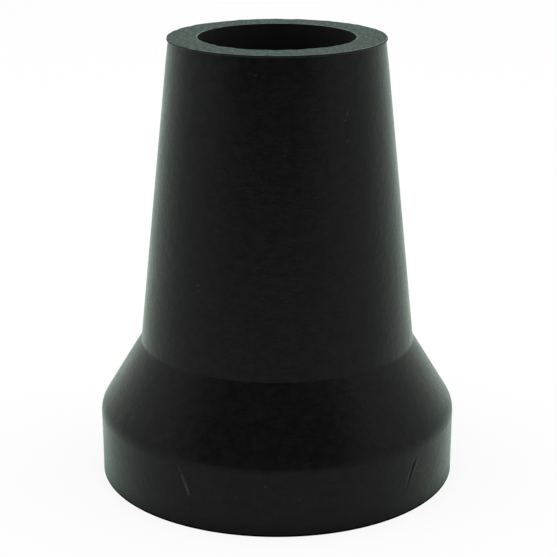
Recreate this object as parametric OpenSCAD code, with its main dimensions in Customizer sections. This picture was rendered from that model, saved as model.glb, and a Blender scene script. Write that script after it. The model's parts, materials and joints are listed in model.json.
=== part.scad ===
// Rubber cane tip, moulded in one piece.
// It stands on its ring-grooved sole, and the shaft is pushed down into its blind socket.
// The origin is the centre of the sole, on the floor, with +Z up along the axis. Sizes are in millimetres.

/* [Overall] */
// Height from the floor to the rim
height = 55.2; // [48:0.1:70]

/* [Socket] */
// Diameter of the shaft that the socket grips
shaft_d = 19; // [14:0.5:22]
// Depth of the socket below the rim
socket_depth = 38; // [20:0.5:44]
// Rounding between the socket's wall and its floor
socket_floor_r = 1.5; // [0.5:0.1:4]
// Rounding of the socket's mouth
mouth_r = 0.1; // [0.05:0.05:1]

/* [Neck] */
// Diameter at the top of the neck, at the height of the rim
rim_d = 26.2; // [24:0.1:31]
// Diameter at the foot of the neck, where the flare starts
neck_d = 34.3; // [28:0.1:41]
// Height of the crease between the neck and the flare
crease_z = 17.25; // [12.5:0.05:24]
// Rounding in the crease
crease_r = 0.6; // [0.3:0.1:6]
// How far the lip of the rim stands out past the top of the neck
lip_out = 0.18; // [0.05:0.01:1]
// Thickness of the lip's edge
lip_t = 0.27; // [0.1:0.01:1.5]
// Rounding of the lip's top edge
lip_r = 0.12; // [0.02:0.01:0.5]
// How far the lip's underside drops on its way in to the neck
lip_under_drop = 0.06; // [0.03:0.01:0.5]
// How far the neck draws in just under the lip
draw_in = 0.06; // [0.02:0.01:0.5]
// Height of the neck over which it draws in
draw_in_h = 3; // [1:0.1:10]

/* [Foot] */
// Diameter of the foot at its shoulder
foot_d = 44.85; // [38:0.05:54]
// Diameter of the foot at the floor
sole_d = 44.7; // [38:0.05:54]
// Height of the shoulder above the floor
shoulder_z = 8.4; // [5:0.1:13]
// Rounding of the shoulder
shoulder_r = 3.2; // [0.5:0.1:6]
// Rounding of the foot's bottom edge
foot_edge_r = 0.15; // [0.1:0.05:2]

/* [Sole tread] */
// Width of the outer land, from the foot's side to the first groove
outer_land_w = 3.3; // [2:0.1:8]
// Width of each ring groove at the sole
groove_w = 2.2; // [1.4:0.1:4]
// Width of the lands between the grooves
land_w = 2.2; // [1:0.1:5]
// Depth of the grooves
groove_depth = 2; // [0.5:0.1:4]
// Slope of a groove's sides away from upright, in degrees
groove_draft = 8; // [1:0.5:12]
// Rounding in the bottom of a groove
groove_root_r = 0.45; // [0.1:0.05:0.8]
// Rounding of the edges of the lands
land_edge_r = 0.2; // [0.05:0.05:0.6]
// Least diameter of the disc that the grooves leave in the middle
centre_d = 6; // [3:0.5:16]

/* [Hidden] */
$fn = 96;
rubber_black = [0.085, 0.09, 0.088];
// How far a rounding's flats may lie inside its true arc
arc_tolerance = 0.008;
// A rounding takes up at most this share of each side that it joins
side_share = 0.48;

socket_r = shaft_d / 2;
rim_r = rim_d / 2;
neck_r = neck_d / 2;
foot_r = foot_d / 2;
sole_r = sole_d / 2;
lip_edge_r = rim_r + lip_out;
socket_floor_z = height - socket_depth;

// Heights of the lip's edge, of its underside at the neck, and of where the neck starts to draw in
lip_edge_z = height - lip_t;
under_lip_z = lip_edge_z - lip_under_drop;
draw_in_z = under_lip_z - draw_in_h;

// The ring grooves follow one another inwards for as long as the middle disc keeps its size
groove_pitch = groove_w + land_w;
first_groove_r = sole_r - outer_land_w;
groove_count = floor((first_groove_r - centre_d / 2 + land_w) / groove_pitch);
groove_lean = groove_depth * tan(groove_draft);

function unit(v) = v / norm(v);
function flat(corner) = [corner.x, corner.y];
function turned(v, angle) = [v.x * cos(angle) - v.y * sin(angle), v.x * sin(angle) + v.y * cos(angle)];

// Radius of the neck's straight side at height z
function neck_side(z) = neck_r + (rim_r - neck_r) * (z - crease_z) / (height - crease_z);

// A corner is [radius, height, rounding]. The corners below run round the half section,
// out along the sole, up the outside, in over the rim and down the socket to the axis.
function groove_corners(outer_r) = [
    [outer_r - groove_w, 0, land_edge_r],
    [outer_r - groove_w + groove_lean, groove_depth, groove_root_r],
    [outer_r - groove_lean, groove_depth, groove_root_r],
    [outer_r, 0, land_edge_r]
];

tread_corners = [
    for (i = [groove_count - 1 : -1 : 0]) each groove_corners(first_groove_r - i * groove_pitch)
];

outside_corners = [
    [sole_r, 0, foot_edge_r],
    [foot_r, shoulder_z, shoulder_r],
    [neck_r, crease_z, crease_r],
    [neck_side(draw_in_z), draw_in_z, 0],
    [neck_side(under_lip_z) - draw_in, under_lip_z, 0],
    [lip_edge_r, lip_edge_z, 0],
    [lip_edge_r, height, lip_r]
];

socket_corners = [
    [socket_r, height, mouth_r],
    [socket_r, socket_floor_z, socket_floor_r],
    [0, socket_floor_z, 0]
];

section_corners = concat([[0, 0, 0]], tread_corners, outside_corners, socket_corners);

// The points of one corner's rounding, on an outline that comes from corner a and goes on to corner b
function rounding(a, corner, b) =
    let (
        p = flat(corner),
        side_a = flat(a) - p,
        side_b = flat(b) - p,
        half_angle = acos(unit(side_a) * unit(side_b)) / 2,
        most = side_share * min(norm(side_a), norm(side_b)),
        reach = min(corner.z / tan(half_angle), most),
        r = reach * tan(half_angle),
        centre = p + unit(unit(side_a) + unit(side_b)) * r / sin(half_angle),
        first = p + unit(side_a) * reach - centre,
        turn = sign(cross(side_b, side_a)) * (180 - 2 * half_angle),
        steps = ceil(abs(turn) / (2 * acos(1 - arc_tolerance / r)))
    )
    [for (i = [0 : steps]) centre + turned(first, turn * i / steps)];

// An outline whose corners are all rounded as they say
function rounded(corners) =
    let (n = len(corners))
    [
        for (i = [0 : n - 1])
            each corners[i].z == 0
                ? [flat(corners[i])]
                : rounding(corners[(i + n - 1) % n], corners[i], corners[(i + 1) % n])
    ];

// The whole tip, turned from its half section
module rubber_tip() {
    color(rubber_black)
        rotate_extrude()
            polygon(rounded(section_corners));
}

rubber_tip();
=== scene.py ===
"""Rubber cane tip: its moulded skin, ground rim, socket and tread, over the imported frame.

Sizes are in millimetres, unless their heading says metres. The tip is turned about Z.
Azimuths are in degrees from the front, -Y, towards +X.
"""

import json
import math
from collections import namedtuple

import bpy
import numpy as np
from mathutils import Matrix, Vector


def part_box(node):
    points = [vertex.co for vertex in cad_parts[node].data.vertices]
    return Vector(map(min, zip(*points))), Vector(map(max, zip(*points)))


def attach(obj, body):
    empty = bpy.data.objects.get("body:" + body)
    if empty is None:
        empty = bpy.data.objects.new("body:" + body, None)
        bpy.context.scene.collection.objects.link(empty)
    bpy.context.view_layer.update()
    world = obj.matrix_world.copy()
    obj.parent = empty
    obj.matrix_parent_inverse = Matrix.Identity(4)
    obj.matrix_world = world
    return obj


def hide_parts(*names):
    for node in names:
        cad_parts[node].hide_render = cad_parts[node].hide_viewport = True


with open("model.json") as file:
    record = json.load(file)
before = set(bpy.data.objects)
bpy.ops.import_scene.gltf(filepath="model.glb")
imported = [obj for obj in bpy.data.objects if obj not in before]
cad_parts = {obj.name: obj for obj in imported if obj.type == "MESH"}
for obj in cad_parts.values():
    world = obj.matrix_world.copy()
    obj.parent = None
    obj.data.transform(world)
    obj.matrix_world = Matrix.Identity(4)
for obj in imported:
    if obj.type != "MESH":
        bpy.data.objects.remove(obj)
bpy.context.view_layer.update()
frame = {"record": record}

MM = 0.001

# Sizes that the frame gives
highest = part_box("rubber_tip")[1]
socket_mount = next(mount for mount in frame["record"]["mounts"] if mount["name"] == "socket")
height = highest[2] / MM
foot_r = highest[0] / MM
socket_r = socket_mount["dims"]["r_mm"]

# Socket
socket_floor_z = 17.2
socket_floor_r = 1.5
mouth_r = 0.1

# Neck, from the crease up to the rim
rim_r = 13.1
neck_r = 17.15
crease_z = 17.25
crease_r = 0.6

# Lip of the rim
lip_out = 0.18
lip_t = 0.27
lip_r = 0.12
lip_under_drop = 0.06
lip_under_r = 0.04
lip_corner_r = 0.06
draw_in = 0.06
draw_in_h = 3

# Foot, with the height of the painted contact-shadow line at its bottom edge
sole_r = 22.35
shoulder_z = 8.65
shoulder_r = 2.5
foot_edge_r = 0.15
foot_line_h = 0.3

# Ring grooves of the sole
outer_land_w = 3.3
groove_w = 2.2
land_w = 2.2
groove_depth = 2
groove_draft = 8
groove_root_r = 0.45
land_edge_r = 0.2
groove_count = 4

# A rounding takes up at most this share of each side that it joins
side_share = 0.48

# Materials, by their place in the mesh's list
SKIN = 0
RIM = 1
SOCKET = 2
TREAD = 3
FOOT_LINE = 4

# Columns of the mesh: even ones, and narrow ones that reach some degrees past each mark
even_columns = 240
mark_column_w = 0.065
mark_margin = 0.8
mark_clearance = 0.5

# Rows of the mesh: degrees for each step of a rounding, and gaps between the rows of a straight run
arc_step = 14
tread_arc_step = 33
end_row_gap = 0.13
foot_row_gap = 0.17
skin_row_gap = 0.65
rim_row_gap = 0.3
hidden_row_gap = 2.2

# How far the moulded surfaces and the rim's edges wander inwards, and over what length
skin_wander = 0.012
skin_wave = 10
skin_seed = 1
edge_wander = 0.05
edge_wave = 1.3
edge_seed = 2

# The wander starts from nothing at the floor. That of the lip and the mouth fades away from them
level_h = 0.5
lip_reach = 0.5
mouth_reach = 0.4

# The noise of the wander is a sum of waves, with a range of lengths, that is cut off at a limit
wave_count = 16
wave_lengths = (0.75, 1.4)
wave_limit = 5

Corner = namedtuple("Corner", "r z rounding zone gap")
Mark = namedtuple("Mark", "start end bow depth half_w burr fade_in fade_out")

# Two marks on the side of the foot, each from one azimuth and height to another
marks = {
    "scuff": Mark((-32.0, 8.1), (-27.6, 4.1), 0.1, 0.03, 0.15, 0.02, 0.95, 0.06),
    "cut": Mark((48.4, 7.1), (43.8, 3.2), -0.1, 0.08, 0.19, 0.03, 0.25, 0.7),
}

# The marks keep to the foot's side, give or take this much
mark_band = 0.5


def neck_side(z):
    """Radius of the neck's straight side at height z."""
    return neck_r + (rim_r - neck_r) * (z - crease_z) / (height - crease_z)


def tread_corners():
    """The corners of the ring grooves, from the innermost out."""
    lean = groove_depth * math.tan(math.radians(groove_draft))
    corners = []
    for i in reversed(range(groove_count)):
        outer = sole_r - outer_land_w - i * (groove_w + land_w)
        corners += [
            Corner(outer - groove_w, 0, land_edge_r, TREAD, hidden_row_gap),
            Corner(outer - groove_w + lean, groove_depth, groove_root_r, TREAD, hidden_row_gap),
            Corner(outer - lean, groove_depth, groove_root_r, TREAD, hidden_row_gap),
            Corner(outer, 0, land_edge_r, TREAD, hidden_row_gap),
        ]
    return corners


def section_corners():
    """The half section's corners: along the sole, up the outside, in over the rim and down the socket.

    Each corner has the zone and the row gap of the straight run that follows it.
    """
    lip_edge_r = rim_r + lip_out
    lip_edge_z = height - lip_t
    under_lip_z = lip_edge_z - lip_under_drop
    draw_in_z = under_lip_z - draw_in_h
    return [
        Corner(0, 0, 0, TREAD, hidden_row_gap),
        *tread_corners(),
        Corner(sole_r, 0, foot_edge_r, SKIN, foot_row_gap),
        Corner(foot_r, shoulder_z, shoulder_r, SKIN, skin_row_gap),
        Corner(neck_r, crease_z, crease_r, SKIN, skin_row_gap),
        Corner(neck_side(draw_in_z), draw_in_z, 0, SKIN, skin_row_gap),
        Corner(neck_side(under_lip_z) - draw_in, under_lip_z, lip_under_r, SKIN, skin_row_gap),
        Corner(lip_edge_r, lip_edge_z, lip_corner_r, RIM, rim_row_gap),
        Corner(lip_edge_r, height, lip_r, RIM, rim_row_gap),
        Corner(socket_r, height, mouth_r, SOCKET, hidden_row_gap),
        Corner(socket_r, socket_floor_z, socket_floor_r, SOCKET, hidden_row_gap),
        Corner(0, socket_floor_z, 0, SOCKET, hidden_row_gap),
    ]


def corner_rows(before, corner, after):
    """The rows of a corner's rounding, on an outline that comes from before and goes on to after."""
    p = np.array([corner.r, corner.z])
    if corner.rounding == 0:
        return [p]
    side_a = np.array([before.r, before.z]) - p
    side_b = np.array([after.r, after.z]) - p
    length_a = np.linalg.norm(side_a)
    length_b = np.linalg.norm(side_b)
    unit_a = side_a / length_a
    unit_b = side_b / length_b
    half_angle = math.acos(unit_a @ unit_b) / 2
    reach = min(corner.rounding / math.tan(half_angle), side_share * min(length_a, length_b))
    r = reach * math.tan(half_angle)
    middle = unit_a + unit_b
    centre = p + middle / np.linalg.norm(middle) * r / math.sin(half_angle)
    spoke = p + unit_a * reach - centre
    turn = math.copysign(math.pi - 2 * half_angle, side_b[0] * side_a[1] - side_b[1] * side_a[0])
    step = tread_arc_step if corner.zone == TREAD else arc_step
    steps = max(2, math.ceil(abs(math.degrees(turn)) / step))
    rows = []
    for angle in np.linspace(0, turn, steps + 1):
        c = math.cos(angle)
        s = math.sin(angle)
        rows.append(centre + np.array([spoke[0] * c - spoke[1] * s, spoke[0] * s + spoke[1] * c]))
    return rows


def straight_rows(start, end, gap):
    """The rows between start and end, or none if the run is short.

    The outer two lie close to the ends, so that the flats shade as flats.
    """
    length = np.linalg.norm(end - start)
    if length < 3 * end_row_gap:
        return []
    steps = max(1, math.ceil((length - 2 * end_row_gap) / gap))
    along = np.linspace(end_row_gap, length - end_row_gap, steps + 1)
    return [start + (end - start) * distance / length for distance in along]


def section_rows():
    """The rows of the half section, as an array of [r, z], and the zone of the band after each row."""
    corners = section_corners()
    rows = [np.array([corners[0].r, corners[0].z])]
    zones = [corners[0].zone]
    for before, corner, after in zip(corners, corners[1:], corners[2:] + [None]):
        bend = corner_rows(before, corner, after)
        run = straight_rows(rows[-1], bend[0], before.gap)
        rows += run + bend
        zones += [before.zone] * (len(run) + len(bend) - 1) + [corner.zone]
    rows = np.array(rows)
    zones = np.array(zones[:-1])
    middles = (rows[1:] + rows[:-1]) / 2
    on_edge = (middles[:, 0] > sole_r - 2 * foot_edge_r) & (middles[:, 1] < foot_line_h)
    zones[on_edge] = FOOT_LINE
    return rows, zones


def column_azimuths():
    """Even columns all round, with narrow ones where the marks are."""
    azimuths = np.linspace(-180, 180, even_columns, endpoint=False)
    for mark in marks.values():
        first = min(mark.start[0], mark.end[0]) - mark_margin
        last = max(mark.start[0], mark.end[0]) + mark_margin
        count = math.ceil(math.radians(last - first) * foot_r / mark_column_w)
        outside = azimuths[(azimuths < first - mark_clearance) | (azimuths > last + mark_clearance)]
        azimuths = np.concatenate([outside, np.linspace(first, last, count)])
    return np.sort(azimuths)


def row_normals(rows):
    """Outward normals of the section at its rows."""
    along = np.gradient(rows, axis=0)
    normals = np.stack([along[:, 1], -along[:, 0]], axis=1)
    return normals / np.linalg.norm(normals, axis=1, keepdims=True)


def waves(points, wavelength, seed):
    """Smooth noise from -1 to 1 whose waves are about this long."""
    rng = np.random.default_rng(seed)
    directions = rng.normal(size=(wave_count, 3))
    directions /= np.linalg.norm(directions, axis=1, keepdims=True)
    lengths = wavelength * rng.uniform(*wave_lengths, wave_count)
    phases = rng.uniform(0, 2 * math.pi, wave_count)
    total = np.cos(points @ (2 * math.pi * directions / lengths[:, None]).T + phases).sum(axis=-1)
    return np.clip(total / wave_limit, -1, 1)


def wander(points, rows):
    """How far out each point moves from the true section, by row and column.

    It is never above 0, so that the tip keeps inside its box. The lands stay flat on the floor.
    """
    r = rows[:, 0]
    z = rows[:, 1]
    off_floor = np.clip(z / level_h, 0, 1)[:, None]
    offset = -skin_wander * off_floor * (1 + waves(points, skin_wave, skin_seed))
    near_lip = np.exp(-((np.hypot(r - rim_r - lip_out, z - height) / lip_reach) ** 2))
    near_mouth = np.exp(-((np.hypot(r - socket_r, z - height) / mouth_reach) ** 2))
    near_edge = (near_lip + near_mouth)[:, None]
    return offset - edge_wander * near_edge * (1 + waves(points, edge_wave, edge_seed)) / 2


def mark_shape(mark, azimuths, z):
    """How deep the mark is at each column and row, and how high the burr beside it, from 0 to 1."""
    start = np.array([math.radians(mark.start[0]) * foot_r, mark.start[1]])
    end = np.array([math.radians(mark.end[0]) * foot_r, mark.end[1]])
    length = np.linalg.norm(end - start)
    forward = (end - start) / length
    u = np.radians(azimuths)[None, :] * foot_r - start[0]
    v = z[:, None] - start[1]
    along = (u * forward[0] + v * forward[1]) / length
    across = v * forward[0] - u * forward[1] - mark.bow * np.sin(math.pi * np.clip(along, 0, 1))
    taper = np.clip(along / mark.fade_in, 0, 1) * np.clip((1 - along) / mark.fade_out, 0, 1)
    # The burr lies two half widths to the right of the groove
    groove = taper * np.exp(-((across / mark.half_w) ** 2))
    burr = taper * np.exp(-(((across - 2 * mark.half_w) / mark.half_w) ** 2))
    return groove, burr


def marked(offset, rows, azimuths):
    """The offset with the marks cut in, and the masks of each mark's groove and flank by name."""
    r = rows[:, 0]
    z = rows[:, 1]
    on_foot = ((r > sole_r - mark_band) & (z > foot_edge_r) & (z < shoulder_z + mark_band))[:, None]
    masks = {}
    for name, mark in marks.items():
        groove, burr = mark_shape(mark, azimuths, z)
        groove = groove * on_foot
        burr = burr * on_foot
        offset = np.minimum(offset - mark.depth * groove + mark.burr * burr, 0)
        masks[name] = groove
        masks[name + "_flank"] = burr
    return offset, masks


def closed_faces(zones, column_count):
    """The faces of a turned mesh whose first and last rows are points on the axis, and their zones."""
    last_band = len(zones) - 1
    last_point = 1 + last_band * column_count
    faces = []
    face_zones = []
    for i, zone in enumerate(zones):
        low = 1 + (i - 1) * column_count
        high = low + column_count
        for j in range(column_count):
            k = (j + 1) % column_count
            if i == 0:
                faces.append((0, high + k, high + j))
            elif i == last_band:
                faces.append((low + j, low + k, last_point))
            else:
                faces.append((low + j, low + k, high + k, high + j))
            face_zones.append(zone)
    return faces, face_zones


def tip_mesh():
    """The whole tip as one closed mesh, with the marks as attributes."""
    rows, zones = section_rows()
    azimuths = column_azimuths()
    normals = row_normals(rows)
    sines = np.sin(np.radians(azimuths))
    cosines = np.cos(np.radians(azimuths))
    level = np.ones_like(sines)
    x = np.outer(rows[:, 0], sines)
    y = -np.outer(rows[:, 0], cosines)
    z = np.outer(rows[:, 1], level)
    points = np.stack([x, y, z], axis=-1)
    offset, masks = marked(wander(points, rows), rows, azimuths)
    points[..., 0] += offset * np.outer(normals[:, 0], sines)
    points[..., 1] -= offset * np.outer(normals[:, 0], cosines)
    points[..., 2] += offset * normals[:, 1:]
    inner = points[1:-1].reshape(-1, 3)
    vertices = np.concatenate([points[0, :1], inner, points[-1, :1]]) * MM
    faces, face_zones = closed_faces(zones, len(azimuths))
    mesh = bpy.data.meshes.new("rubber_tip_skin")
    mesh.from_pydata(vertices.tolist(), [], faces)
    mesh.polygons.foreach_set("material_index", face_zones)
    mesh.shade_smooth()
    for name, mask in masks.items():
        values = np.concatenate([[0], mask[1:-1].ravel(), [0]])
        mesh.attributes.new(name, "FLOAT", "POINT").data.foreach_set("value", values)
    mesh.validate()
    return mesh


def add(tree, kind, settings=None, **inputs):
    """A new node. Inputs are values or other nodes' outputs, and _ in their names stands for a space."""
    node = tree.nodes.new(kind)
    for name, value in (settings or {}).items():
        setattr(node, name, value)
    for name, value in inputs.items():
        socket = node.inputs[name.replace("_", " ")]
        if isinstance(value, bpy.types.NodeSocket):
            tree.links.new(value, socket)
        else:
            socket.default_value = value
    return node


def object_mm(tree, stretch=(1, 1, 1), turn=0):
    """Object coordinates in millimetres, turned about Z and then stretched along the axes."""
    place = add(tree, "ShaderNodeTexCoord").outputs["Object"]
    if turn:
        rotation = (0, 0, math.radians(turn))
        place = add(tree, "ShaderNodeMapping", Vector=place, Rotation=rotation).outputs[0]
    scale = [factor / MM for factor in stretch]
    return add(tree, "ShaderNodeMapping", Vector=place, Scale=scale).outputs[0]


def height_above_floor(tree, place):
    """The height of a place."""
    return add(tree, "ShaderNodeSeparateXYZ", Vector=place).outputs["Z"]


def vector_length(tree, vector):
    """The length of a vector."""
    node = add(tree, "ShaderNodeVectorMath", {"operation": "LENGTH"})
    tree.links.new(vector, node.inputs[0])
    return node.outputs["Value"]


# A noise is the size of its features, the finer levels that it has, and how strong those are
Noise = namedtuple("Noise", "size detail roughness")


def noise(tree, place, kind):
    """A noise from 0 to 1."""
    node = add(
        tree,
        "ShaderNodeTexNoise",
        Vector=place,
        Scale=1 / kind.size,
        Detail=kind.detail,
        Roughness=kind.roughness,
    )
    return node.outputs["Fac"]


def remap(tree, value, low, high, to_low=0, to_high=1):
    """Value, with low to high made to_low to to_high, and smooth at both ends."""
    node = add(tree, "ShaderNodeMapRange", {"interpolation_type": "SMOOTHSTEP"}, Value=value)
    node.inputs["From Min"].default_value = low
    node.inputs["From Max"].default_value = high
    node.inputs["To Min"].default_value = to_low
    node.inputs["To Max"].default_value = to_high
    return node.outputs["Result"]


def maths(tree, operation, a, b):
    """Two values put together by one operation."""
    node = add(tree, "ShaderNodeMath", {"operation": operation})
    for socket, value in zip(node.inputs, (a, b)):
        if isinstance(value, bpy.types.NodeSocket):
            tree.links.new(value, socket)
        else:
            socket.default_value = value
    return node.outputs[0]


def times(tree, a, b):
    """The product of two values."""
    return maths(tree, "MULTIPLY", a, b)


def plus(tree, a, b):
    """The sum of two values."""
    return maths(tree, "ADD", a, b)


def larger(tree, a, b):
    """The larger of two values."""
    return maths(tree, "MAXIMUM", a, b)


def mix(tree, share, a, b):
    """Colour a, turning to colour b as share goes from 0 to 1."""
    node = add(tree, "ShaderNodeMixRGB", Fac=share, Color1=a, Color2=b)
    return node.outputs[0]


def blend(tree, share, a, b):
    """Shader a, turning to shader b as share goes from 0 to 1."""
    node = add(tree, "ShaderNodeMixShader", Fac=share)
    tree.links.new(a.outputs[0], node.inputs[1])
    tree.links.new(b.outputs[0], node.inputs[2])
    return node


def attribute(tree, name):
    """A mask of the mesh."""
    return add(tree, "ShaderNodeAttribute", {"attribute_name": name}).outputs["Fac"]


def bumps(tree, *layers):
    """A normal from layers, each a height of 0 to 1 and its depth in millimetres, the lowest first."""
    normal = None
    for lift, depth in layers:
        node = add(tree, "ShaderNodeBump", Height=lift, Distance=depth * MM, Strength=1)
        if normal:
            tree.links.new(normal, node.inputs["Normal"])
        normal = node.outputs[0]
    return normal


def new_material(name):
    """A material with only its output node, and its tree."""
    material = bpy.data.materials.new(name)
    material.use_nodes = True
    material.node_tree.nodes.clear()
    add(material.node_tree, "ShaderNodeOutputMaterial")
    return material, material.node_tree


def surface(tree, shader):
    """Sends a shader to the material's output."""
    output = next(node for node in tree.nodes if node.bl_idname == "ShaderNodeOutputMaterial")
    tree.links.new(shader.outputs[0], output.inputs["Surface"])


# The rubber is near-black, with a faint green
rubber_tint = (0.95, 1, 0.97)

# Gloss that all the moulded rubber has
rubber_ior = 1.5
rubber_specular = 0.12
rubber_roughness = (0.24, 0.3)

# The pale bloom at the skin's edges
skin_sheen = {
    "Sheen_Weight": 0.3,
    "Sheen_Roughness": 0.3,
    "Sheen_Tint": (0.32, 1, 0.54, 1),
}

# The skin's texture. The cloud is that of its gloss, and the smear is that of the scuff
grain_noise = Noise(0.2, 2, 0.5)
peel_noise = Noise(0.9, 3, 0.55)
mottle_noise = Noise(1.2, 3, 0.65)
streak_noise = Noise(1.1, 3, 0.6)
streak_stretch = (0.8, 0.8, 5)
pit_spacing = 2.4
cloud_noise = Noise(5, 3, 0.5)
smear_noise = Noise(0.4, 3, 0.6)

# Where each feature starts and is full, on the scale of its noise, or of the cells for the pits
mottle_range = (0.3, 0.7)
light_streak_range = (0.56, 0.72)
dark_streak_range = (0.44, 0.3)
pit_range = (0.08, 0.03)
cloud_range = (0.3, 0.7)
smear_range = (0.35, 0.6)
smear_least = 0.3

# Depths of the skin's texture
grain_depth = 0.003
peel_depth = 0.012
mottle_depth = 0.012
streak_depth = 0.008
pit_depth = 0.02

# Shades of the skin: the mottle's two, the streaks, the pits, the painted shade of the contact shadow
# next to the floor, and the marks
mottle_shades = (0.0008, 0.0032)
light_streak_shade = 0.0045
dark_streak_shade = 0.0004
pit_shade = 0.0003
painted_contact_shadow_shade = 0.0002
painted_contact_shadow_share = 0.85
cut_shade = 0.0005
cut_flank_shade = 0.02
cut_flank_share = 0.5
scuff_colour = (0.06, 0.06, 0.057, 1)

# Roughness that parts of the skin have on top
dark_streak_roughness = 0.05
cut_roughness = 0.4
contact_roughness = 0.1
rubbed_roughness = 0.05

# Heights over which the skin darkens towards the floor, as painted shade of the contact shadow, and over
# which the shoulder is rubbed
painted_contact_shadow_heights = (2.4, 0.1)
rubbed_from = (7.5, 8.3)
rubbed_to = (9.6, 8.4)

# Small nicks and specks, by azimuth, height, length, width, tilt from level and brightness
Nick = namedtuple("Nick", "azimuth z long wide tilt shade")
nicks = [
    Nick(-10.5, 52.9, 0.5, 0.14, 20, 0.018),
    Nick(-13.5, 53.1, 0.35, 0.12, -15, 0.012),
    Nick(35.6, 48.1, 0.8, 0.14, 72, 0.03),
    Nick(34.2, 47.4, 0.3, 0.12, 30, 0.02),
    Nick(34.8, 45.0, 0.5, 0.14, 10, 0.018),
    Nick(3.0, 44.2, 0.3, 0.2, 0, 0.001),
    Nick(3.6, 43.9, 0.35, 0.12, 25, 0.02),
    Nick(-20.5, 43.0, 0.3, 0.25, 0, 0.001),
    Nick(-35.6, 28.0, 0.8, 0.14, 5, 0.025),
    Nick(-35.2, 27.3, 0.7, 0.12, -5, 0.02),
    Nick(6.7, 4.7, 0.35, 0.16, 0, 0.025),
    Nick(-3.5, 6.5, 0.3, 0.15, 0, 0.03),
    Nick(-12.2, 4.9, 0.3, 0.15, 30, 0.03),
    Nick(-19.2, 8.0, 0.3, 0.25, 0, 0.001),
    Nick(26.0, 5.6, 0.3, 0.15, -30, 0.014),
]

# A nick fades out between these shares of its half length, and reaches this far in and out
nick_fade = (1.1, 0.5)
nick_reach = 0.5


def black(shade):
    """The rubber's colour, this bright."""
    return (*[shade * part for part in rubber_tint], 1)


def outside_point(azimuth, z):
    """The point on the outside at an azimuth and height."""
    if z > crease_z:
        r = neck_side(z)
    elif z > shoulder_z:
        r = foot_r + (neck_r - foot_r) * (z - shoulder_z) / (crease_z - shoulder_z)
    else:
        r = sole_r + (foot_r - sole_r) * z / shoulder_z
    angle = math.radians(azimuth)
    return Vector((r * math.sin(angle), -r * math.cos(angle), z))


def nick_mask(tree, place, nick):
    """1 in the middle of a nick, and 0 outside it."""
    local = add(
        tree,
        "ShaderNodeMapping",
        {"vector_type": "TEXTURE"},
        Vector=place,
        Location=outside_point(nick.azimuth, nick.z),
        Rotation=(0, math.radians(-nick.tilt), math.radians(nick.azimuth)),
        Scale=(nick.long / 2, nick_reach, nick.wide / 2),
    )
    return remap(tree, vector_length(tree, local.outputs[0]), *nick_fade)


def rubber(tree, colour, roughness, normal, ior=rubber_ior, specular=rubber_specular, **sheen):
    """Sends a rubber shader to the material's output."""
    shader = add(
        tree,
        "ShaderNodeBsdfPrincipled",
        Base_Color=colour,
        Roughness=roughness,
        IOR=ior,
        Specular_IOR_Level=specular,
        Normal=normal,
        **sheen,
    )
    surface(tree, shader)


def skin_material():
    """Moulded rubber: a fine uneven skin with level streaks, pits, nicks and the two marks, and painted
    shade towards the floor.
    """
    material, tree = new_material("moulded_rubber")
    place = object_mm(tree)
    grain = noise(tree, place, grain_noise)
    peel = noise(tree, place, peel_noise)
    mottle = remap(tree, noise(tree, place, mottle_noise), *mottle_range)
    streaks = noise(tree, object_mm(tree, streak_stretch), streak_noise)
    light_streak = remap(tree, streaks, *light_streak_range)
    dark_streak = remap(tree, streaks, *dark_streak_range)
    cells = add(tree, "ShaderNodeTexVoronoi", {"feature": "F1"}, Vector=place, Scale=1 / pit_spacing)
    pit = remap(tree, cells.outputs["Distance"], *pit_range)
    cloud = noise(tree, place, cloud_noise)
    smear = remap(tree, noise(tree, place, smear_noise), *smear_range, smear_least, 1)
    z = height_above_floor(tree, place)
    contact = remap(tree, z, *painted_contact_shadow_heights)
    rubbed = times(tree, remap(tree, z, *rubbed_from), remap(tree, z, *rubbed_to))
    scuff = attribute(tree, "scuff")
    cut = attribute(tree, "cut")
    flank = attribute(tree, "cut_flank")

    colour = mix(tree, mottle, black(mottle_shades[0]), black(mottle_shades[1]))
    colour = mix(tree, light_streak, colour, black(light_streak_shade))
    colour = mix(tree, dark_streak, colour, black(dark_streak_shade))
    colour = mix(tree, pit, colour, black(pit_shade))
    for nick in nicks:
        colour = mix(tree, nick_mask(tree, place, nick), colour, black(nick.shade))
    # Painted shade: the skin darkens towards the floor, where it mirrors the contact shadow
    colour = mix(tree, times(tree, contact, painted_contact_shadow_share), colour, black(painted_contact_shadow_shade))
    colour = mix(tree, times(tree, scuff, smear), colour, scuff_colour)
    colour = mix(tree, times(tree, flank, cut_flank_share), colour, black(cut_flank_shade))
    colour = mix(tree, cut, colour, black(cut_shade))

    roughness = remap(tree, cloud, *cloud_range, *rubber_roughness)
    roughness = plus(tree, roughness, times(tree, dark_streak, dark_streak_roughness))
    roughness = plus(tree, roughness, times(tree, cut, cut_roughness))
    roughness = plus(tree, roughness, times(tree, contact, contact_roughness))
    roughness = plus(tree, roughness, times(tree, rubbed, rubbed_roughness))

    normal = bumps(
        tree,
        (grain, grain_depth),
        (peel, peel_depth),
        (mottle, mottle_depth),
        (streaks, streak_depth),
        (pit, -pit_depth),
    )
    rubber(tree, colour, roughness, normal, **skin_sheen)
    return material


# The rim's ground face
ground_roughness = 0.75
ground_specular = 0.2
ground_sheen = {
    "Sheen_Weight": 0.07,
    "Sheen_Roughness": 0.5,
    "Sheen_Tint": (0.3, 1, 0.65, 1),
}

# Its grit, its mottle and the strokes of the grinding, which run one way
grit_noise = Noise(0.24, 2, 0.6)
grit_depth = 0.02
ground_mottle_noise = Noise(0.7, 3, 0.6)
ground_mottle_depth = 0.03
stroke_noise = Noise(0.8, 2, 0.6)
stroke_depth = 0.03
stroke_stretch = (3, 0.8, 1)
stroke_turn = 20

# Where each of them starts and is full, on the scale of its noise
grit_range = (0.36, 0.64)
ground_mottle_range = (0.55, 0.35)
ground_mottle_share = 0.4
dark_stroke_range = (0.45, 0.3)
pale_stroke_range = (0.55, 0.7)
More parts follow.
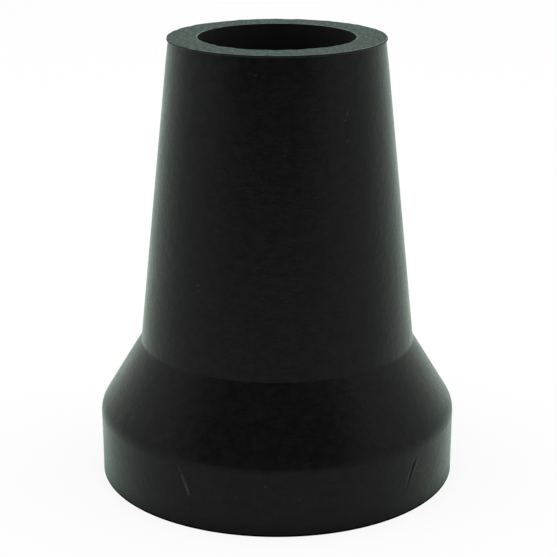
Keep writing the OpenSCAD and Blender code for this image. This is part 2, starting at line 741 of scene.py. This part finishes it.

# Colours of the same, and of the painted highlight along the edges
grit_dark = (0.012, 0.0165, 0.015, 1)
grit_pale = (0.066, 0.083, 0.076, 1)
ground_mottle_colour = (0.018, 0.024, 0.021, 1)
stroke_dark = (0.004, 0.006, 0.005, 1)
stroke_pale = (0.115, 0.14, 0.13, 1)
edge_highlight_colour = (0.13, 0.16, 0.148, 1)
lip_side_shade = 0.004

# The painted edge highlight starts and is full this far in from the lip's edge and out from the socket's
# wall
lip_highlight_reach = (0.26, 0.12)
mouth_highlight_reach = (0.26, 0.14)
edge_highlight_share = 0.9

# The lip's side is black from this far below the rim on
lip_side_drop = (0.03, 0.08)


def rim_material():
    """The rim's cut and ground face: dull greenish grey and gritty.

    Its edges are paler as a painted highlight, and the lip's side is black.
    """
    material, tree = new_material("ground_rubber")
    place = object_mm(tree)
    strokes = noise(tree, object_mm(tree, stroke_stretch, stroke_turn), stroke_noise)
    grit = noise(tree, place, grit_noise)
    mottle = noise(tree, place, ground_mottle_noise)
    mottled = remap(tree, mottle, *ground_mottle_range, 0, ground_mottle_share)
    z = height_above_floor(tree, place)
    lip_side = remap(tree, z, height - lip_side_drop[0], height - lip_side_drop[1])
    radius = vector_length(tree, object_mm(tree, (1, 1, 0)))
    lip_edge_r = rim_r + lip_out
    by_lip = remap(tree, radius, lip_edge_r - lip_highlight_reach[0], lip_edge_r - lip_highlight_reach[1])
    by_mouth = remap(tree, radius, socket_r + mouth_highlight_reach[0], socket_r + mouth_highlight_reach[1])
    painted_edge_highlight = times(tree, larger(tree, by_lip, by_mouth), edge_highlight_share)

    colour = mix(tree, remap(tree, grit, *grit_range), grit_dark, grit_pale)
    colour = mix(tree, mottled, colour, ground_mottle_colour)
    colour = mix(tree, remap(tree, strokes, *dark_stroke_range), colour, stroke_dark)
    colour = mix(tree, remap(tree, strokes, *pale_stroke_range), colour, stroke_pale)
    # Painted highlight along the edges of the lip and the mouth
    colour = mix(tree, painted_edge_highlight, colour, edge_highlight_colour)
    colour = mix(tree, lip_side, colour, black(lip_side_shade))
    normal = bumps(tree, (grit, grit_depth), (mottle, ground_mottle_depth), (strokes, stroke_depth))
    rubber(tree, colour, ground_roughness, normal, specular=ground_specular, **ground_sheen)
    return material


# Socket: rings across the wall, on a black paler than the skin's, painted light for the dim bore
ring_noise = Noise(0.8, 2, 0.5)
ring_stretch = (0.05, 0.05, 3)
ring_depth = 0.015
socket_painted_light_shades = (0.006, 0.01)
socket_roughness = 0.65


def socket_material():
    """The socket's wall: black, with faint rings from the mould's core, and paler than the skin as
    painted light in the dim bore.
    """
    material, tree = new_material("socket_rubber")
    rings = noise(tree, object_mm(tree, ring_stretch), ring_noise)
    # Painted light: the wall's black is paler than the skin's, to lift the dim bore
    colour = mix(tree, rings, black(socket_painted_light_shades[0]), black(socket_painted_light_shades[1]))
    rubber(tree, colour, socket_roughness, bumps(tree, (rings, ring_depth)))
    return material


# Tread: its grain, the dust that greys it, and the heights over which a groove turns to a land
tread_grain_noise = Noise(0.35, 3, 0.5)
tread_grain_depth = 0.008
dust_noise = Noise(3, 4, 0.6)
dust_range = (0.35, 0.65)
dust_least = 0.35
land_heights = (0.25, 0.02)
tread_shades = (0.004, 0.02)
tread_roughness = (0.45, 0.7)


def tread_material():
    """The sole: moulded rubber, a little greyer where its lands meet the floor."""
    material, tree = new_material("tread_rubber")
    place = object_mm(tree)
    grain = noise(tree, place, tread_grain_noise)
    dust = remap(tree, noise(tree, place, dust_noise), *dust_range, dust_least, 1)
    worn = times(tree, remap(tree, height_above_floor(tree, place), *land_heights), dust)
    colour = mix(tree, worn, black(tread_shades[0]), black(tread_shades[1]))
    roughness = remap(tree, worn, 0, 1, *tread_roughness)
    rubber(tree, colour, roughness, bumps(tree, (grain, tread_grain_depth)))
    return material


# Painted contact shadow: a dark line at the foot's bottom edge, which has no gloss at all
line_grain_noise = Noise(0.3, 3, 0.5)
line_grain_depth = 0.01
line_grain_range = (0.3, 0.7)
contact_shadow_line_shades = (0.0005, 0.003)
line_roughness = (0.75, 0.95)


def contact_shadow_line_material():
    """The foot's bottom edge: a thin dull dark line, a painted contact shadow where it meets the floor.
    """
    material, tree = new_material("rubbed_rubber")
    grain = noise(tree, object_mm(tree), line_grain_noise)
    # Painted contact shadow: a near-black line with no gloss
    colour = mix(tree, grain, black(contact_shadow_line_shades[0]), black(contact_shadow_line_shades[1]))
    roughness = remap(tree, grain, *line_grain_range, *line_roughness)
    rubber(tree, colour, roughness, bumps(tree, (grain, line_grain_depth)), ior=1, specular=0)
    return material


def make_tip():
    """The visual tip, in place of the CAD solid."""
    tip = bpy.data.objects.new("rubber_tip_skin", tip_mesh())
    bpy.context.scene.collection.objects.link(tip)
    tip.data.materials.append(skin_material())
    tip.data.materials.append(rim_material())
    tip.data.materials.append(socket_material())
    tip.data.materials.append(tread_material())
    tip.data.materials.append(contact_shadow_line_material())
    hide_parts("rubber_tip")
    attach(tip, "root")


# Floor, in metres. It lies a hair below the sole, so that the two don't share a plane
floor_reach = 4
floor_front = 0.5
floor_z = -0.000005

# Its grey, the white added where it is seen directly, and how far in under the foot it turns clear
floor_grey = 0.9
floor_lift = 0.85
clear_under = 1

# In reflections the floor is dim at the foot. It brightens over a near and a far distance from it
near_reach = 4
near_glow = (0.1, 0.4)
far_reach = 26
far_glow = (0, 0.6)

# Tent of light, with the edges of its dim areas in degrees from their middles
tent_glow = 1.15
opening_glow = 0.27
opening_azimuth = -5
opening_elevation = 31
opening_edges = (31, 73)
ceiling_share = 0.35
ceiling_azimuth = 180
ceiling_elevation = 52
ceiling_edges = (15, 48)

# Reflections show plain white where the tent is less dim than this
white_below = 0.15


def seen_directly(tree, reflected):
    """1 for rays from the camera or through something clear, and reflected for rays off a gloss."""
    path = add(tree, "ShaderNodeLightPath").outputs
    glossy = times(tree, path["Is Glossy Ray"], reflected)
    seen = larger(tree, path["Is Camera Ray"], glossy)
    return larger(tree, seen, path["Is Transmission Ray"])


def floor_material():
    """Pale and matt, nearly white where it is seen directly, and clear where it would hide the sole."""
    material, tree = new_material("floor")
    pale = add(tree, "ShaderNodeBsdfDiffuse", Color=(floor_grey, floor_grey, floor_grey, 1))
    white = add(tree, "ShaderNodeEmission", Color=(1, 1, 1, 1), Strength=1)
    clear = add(tree, "ShaderNodeBsdfTransparent")
    from_foot = maths(tree, "SUBTRACT", vector_length(tree, object_mm(tree)), foot_r)
    near = remap(tree, from_foot, 0, near_reach, *near_glow)
    far = remap(tree, from_foot, 0, far_reach, *far_glow)
    share = times(tree, seen_directly(tree, plus(tree, near, far)), floor_lift)
    beneath = add(tree, "ShaderNodeNewGeometry").outputs["Backfacing"]
    covered = maths(tree, "LESS_THAN", from_foot, -clear_under)
    lifted = blend(tree, share, pale, white)
    surface(tree, blend(tree, larger(tree, beneath, covered), lifted, clear))
    return material


def make_floor():
    """A plain pale floor that keeps the tip's shadow.

    It ends a little way in front, so the top of the neck mirrors the dim opening instead of it.
    """
    corners = [
        (-floor_reach, -floor_front, floor_z),
        (floor_reach, -floor_front, floor_z),
        (floor_reach, floor_reach, floor_z),
        (-floor_reach, floor_reach, floor_z),
    ]
    mesh = bpy.data.meshes.new("floor")
    mesh.from_pydata(corners, [], [(0, 1, 2, 3)])
    mesh.materials.append(floor_material())
    floor = bpy.data.objects.new("floor", mesh)
    bpy.context.scene.collection.objects.link(floor)


def dim_area(tree, azimuth, elevation, edges):
    """1 inside the first edge of a round area of the tent, and 0 outside the second."""
    azimuth = math.radians(azimuth)
    elevation = math.radians(elevation)
    level = math.cos(elevation)
    middle = (level * math.sin(azimuth), -level * math.cos(azimuth), math.sin(elevation))
    nearness = add(tree, "ShaderNodeVectorMath", {"operation": "DOT_PRODUCT"})
    nearness.inputs[1].default_value = middle
    tree.links.new(add(tree, "ShaderNodeTexCoord").outputs["Generated"], nearness.inputs[0])
    inner, outer = [math.cos(math.radians(edge)) for edge in edges]
    return remap(tree, nearness.outputs["Value"], outer, inner)


def fade(tree, share, start, end):
    """A value that goes straight from start to end as share goes from 0 to 1."""
    return plus(tree, times(tree, share, end - start), start)


def make_world():
    """A tent of light that looks plain white.

    What it sheds on the tip is dim in front, above the camera, and high up behind.
    """
    world = bpy.data.worlds.new("studio")
    world.use_nodes = True
    tree = world.node_tree
    tree.nodes.clear()
    opening = dim_area(tree, opening_azimuth, opening_elevation, opening_edges)
    ceiling = dim_area(tree, ceiling_azimuth, ceiling_elevation, ceiling_edges)
    glow = fade(tree, opening, tent_glow, opening_glow)
    glow = times(tree, glow, fade(tree, ceiling, 1, ceiling_share))
    dim = larger(tree, opening, ceiling)
    seen = seen_directly(tree, remap(tree, dim, white_below, 0))
    studio = add(tree, "ShaderNodeBackground", Color=(1, 1, 1, 1), Strength=glow)
    white = add(tree, "ShaderNodeBackground", Color=(1, 1, 1, 1), Strength=1)
    output = add(tree, "ShaderNodeOutputWorld")
    tree.links.new(blend(tree, seen, studio, white).outputs[0], output.inputs["Surface"])
    bpy.context.scene.world = world


# Soft square lamps, high over the tip, in metres and watts
Lamp = namedtuple("Lamp", "name place size watts")
lamps = [
    Lamp("overhead_left", (-0.12, -0.08, 0.9), 0.7, 3),
    Lamp("overhead_right", (0.14, 0.06, 0.9), 0.7, 2),
]


def make_lamps():
    """The lamps, each looking at the tip."""
    for lamp in lamps:
        data = bpy.data.lights.new(lamp.name, "AREA")
        data.size = lamp.size
        data.energy = lamp.watts
        body = bpy.data.objects.new(lamp.name, data)
        body.location = lamp.place
        body.rotation_euler = (-Vector(lamp.place)).to_track_quat("-Z", "Y").to_euler()
        bpy.context.scene.collection.objects.link(body)


# Camera, as the rings of the tip in the photograph fix it
camera_target = Vector((0.17, 0, 24.67))
camera_distance = 206.8
camera_elevation = 17.85
camera_lens = 106.58
camera_sensor = 36

# The nearest that the camera sees, in metres
camera_near = 0.01


def make_camera():
    """The photograph's view: from the front, a little above the rim."""
    elevation = math.radians(camera_elevation)
    backwards = Vector((0, -math.cos(elevation), math.sin(elevation)))
    data = bpy.data.cameras.new("camera")
    data.lens = camera_lens
    data.sensor_width = camera_sensor
    data.clip_start = camera_near
    camera = bpy.data.objects.new("camera", data)
    camera.location = (camera_target + camera_distance * backwards) * MM
    camera.rotation_euler = backwards.to_track_quat("Z", "Y").to_euler()
    bpy.context.scene.collection.objects.link(camera)
    bpy.context.scene.camera = camera


make_camera()
make_tip()
make_floor()
make_world()
make_lamps()
bpy.context.scene.view_settings.view_transform = "Standard"
